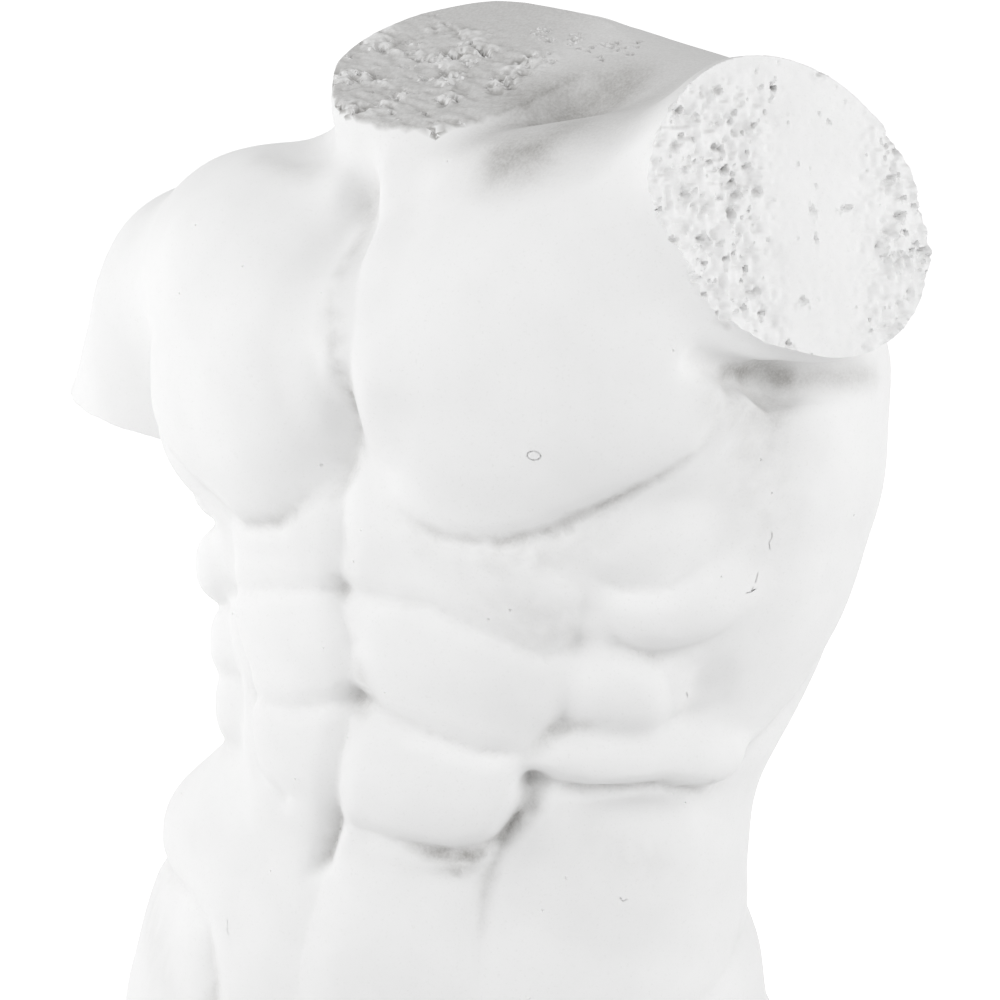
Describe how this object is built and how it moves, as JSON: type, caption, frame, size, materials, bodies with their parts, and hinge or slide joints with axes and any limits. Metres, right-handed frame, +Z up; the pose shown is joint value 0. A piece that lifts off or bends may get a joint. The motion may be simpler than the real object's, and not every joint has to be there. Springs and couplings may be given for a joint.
{
  "type": "man statue",
  "caption": "Headless and armless muscular male torso in matte white cast stone, standing on cut thighs on a low rectangular plinth.",
  "frame": {"origin": "middle of the plinth's underside, on the floor", "axes": "+Z up, -Y the way the chest faces, +X to the figure's own left, the side of the raised arm's stump"},
  "size_m": [0.4692, 0.2722, 0.7458],
  "materials": {
    "torso": "matte white cast stone, lightly pitted, rough on the broken faces",
    "plinth": "matte white cast stone"
  },
  "bodies": {
    "root": {"torso": "torso", "plinth": "plinth"}
  },
  "joints": []
}
